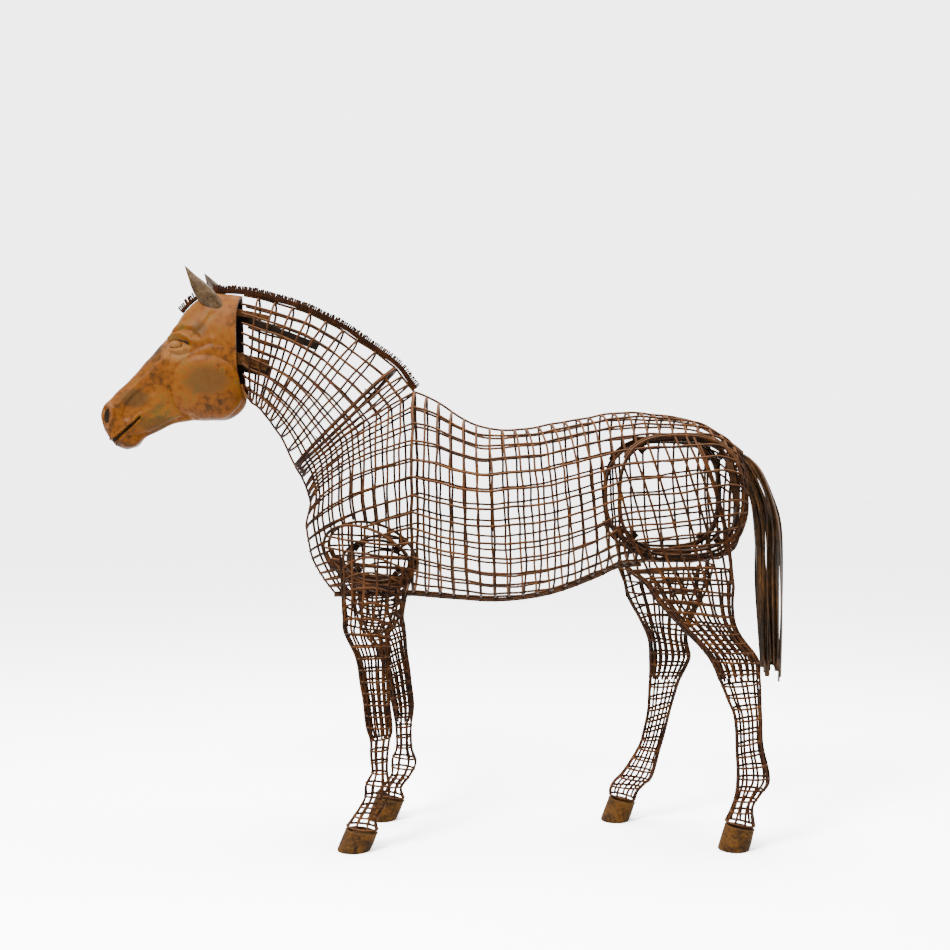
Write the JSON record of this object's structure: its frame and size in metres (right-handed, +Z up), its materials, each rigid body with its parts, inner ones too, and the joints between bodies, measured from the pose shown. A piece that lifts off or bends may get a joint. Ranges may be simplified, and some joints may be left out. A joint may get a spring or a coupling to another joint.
{
  "type": "iron horse sculpture",
  "caption": "Life-size standing horse: neck, trunk and legs are open cages of welded round bar, with a hollow sheet-iron head, iron hooves, a comb mane and a tail of flat straps, all rusted",
  "frame": {"origin": "on the ground under the middle of the horse's length and width", "axes": "+Z up, +X towards the tail, -X the way the nose points, -Y the horse's left side; the longest extent is along X and the shortest along Y"},
  "size_m": [2.3184, 0.5742, 1.9226],
  "materials": {
    "rod_rust": "rusted round bar, brown with orange bloom",
    "sheet_rust": "rusted sheet, orange-brown with olive and grey patches",
    "hoof_rust": "rusted sheet, ochre brown",
    "dark_rust": "dark brown scale on flat bar",
    "ear_iron": "grey-brown, half polished"
  },
  "bodies": {
    "root": {"head_shell": "sheet_rust", "ear_left": "ear_iron", "ear_right": "ear_iron", "mane_comb": "dark_rust", "forelock_comb": "dark_rust", "neck_cage": "rod_rust", "neck_flange_upper": "rod_rust", "neck_flange_lower": "rod_rust", "neck_strap_left_upper": "dark_rust", "neck_strap_left_lower": "dark_rust", "neck_strap_right_long": "dark_rust", "neck_strap_right_lower": "dark_rust", "chest_cage": "rod_rust", "barrel_cage": "rod_rust", "croup_cage": "rod_rust", "keel_bar": "rod_rust", "shoulder_ring_left": "dark_rust", "hip_ring_left": "dark_rust", "shoulder_ring_right": "dark_rust", "hip_ring_right": "dark_rust", "left_foreleg_cage": "rod_rust", "left_hindleg_cage": "rod_rust", "right_foreleg_cage": "rod_rust", "right_hindleg_cage": "rod_rust", "left_fore_hoof": "hoof_rust", "right_fore_hoof": "hoof_rust", "left_hind_hoof": "hoof_rust", "right_hind_hoof": "hoof_rust", "tail_dock": "rod_rust", "tail_straps": "dark_rust"}
  },
  "joints": []
}
